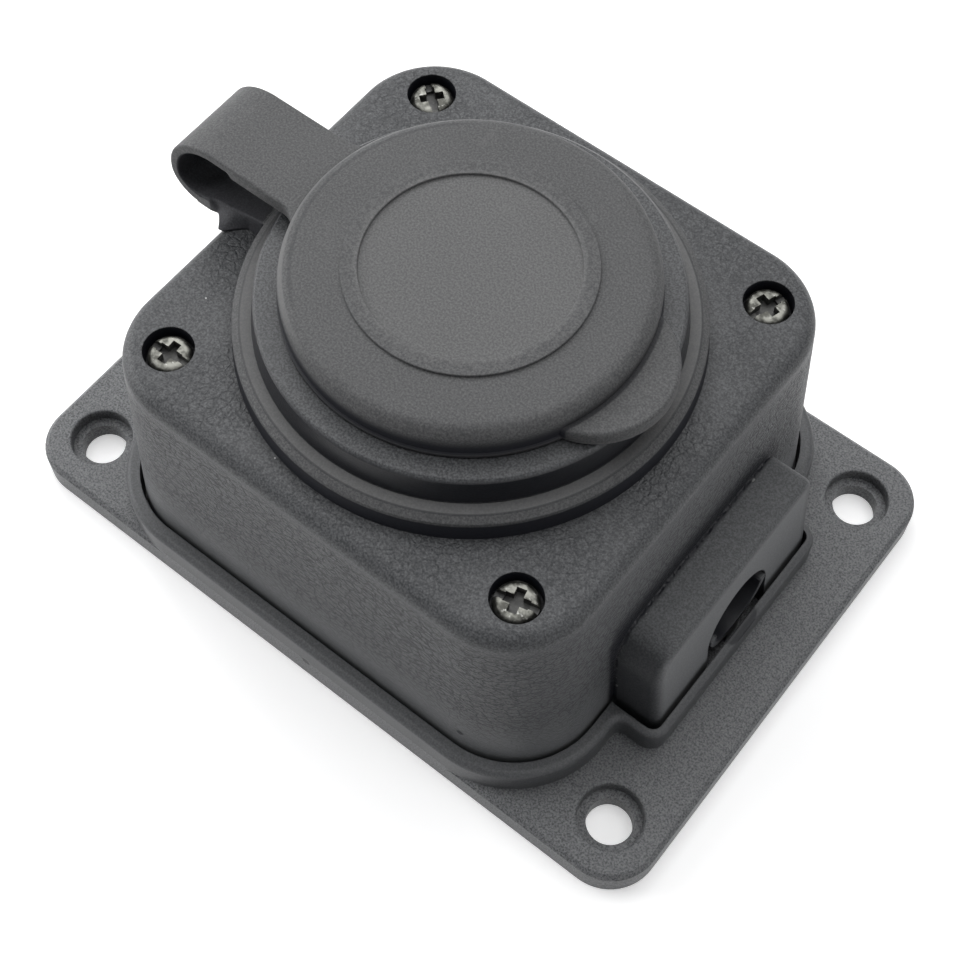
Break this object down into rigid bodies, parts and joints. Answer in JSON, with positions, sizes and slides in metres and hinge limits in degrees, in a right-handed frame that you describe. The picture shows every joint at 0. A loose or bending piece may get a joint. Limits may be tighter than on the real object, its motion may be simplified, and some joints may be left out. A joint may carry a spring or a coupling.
{
  "type": "surface mount socket",
  "caption": "Surface-mounted earthed socket in a grained plastic box with screw wings, a side cable arch and a round rubber cap on a strap.",
  "frame": {"origin": "middle of the four mounting holes on the underside of the base plate", "axes": "+X along the plate from the strap to the cable hood, +Z out of the mounting surface towards the cap"},
  "size_m": [0.1, 0.0706, 0.0509],
  "materials": {
    "housing_plastic": "leather grain, satin",
    "seal_foam": "closed-cell foam",
    "zinc_screw": "zinc plated",
    "insert_plastic": "smooth moulded",
    "contact_brass": "plain",
    "earth_spring": "tin plated",
    "cap_rubber": "fine matte"
  },
  "bodies": {
    "housing": {"base_plate": "housing_plastic", "cover_housing": "housing_plastic", "cover_seal": "seal_foam", "cover_screw_1": "zinc_screw", "cover_screw_2": "zinc_screw", "cover_screw_3": "zinc_screw", "cover_screw_4": "zinc_screw", "insert_screw_1": "zinc_screw", "insert_screw_2": "zinc_screw", "terminal_screw_1": "zinc_screw", "terminal_screw_2": "zinc_screw", "earth_terminal_screw": "zinc_screw", "retainer_screw": "zinc_screw", "socket_insert": "insert_plastic", "contact_carrier": "insert_plastic", "contact_retainer": "insert_plastic", "line_contact_1": "contact_brass", "line_contact_2": "contact_brass", "earth_bracket": "earth_spring", "strap_ring": "cap_rubber", "cap_strap": "cap_rubber"},
    "cap": {"cap_lid": "cap_rubber"}
  },
  "joints": [
    {"name": "cap_hinge", "type": "hinge", "parent": "housing", "child": "cap", "pos_m": [-0.0367, 0, 0.0435], "axis": [0, -1, 0], "range_deg": [0, 135], "deforming": ["cap_strap"]}
  ]
}
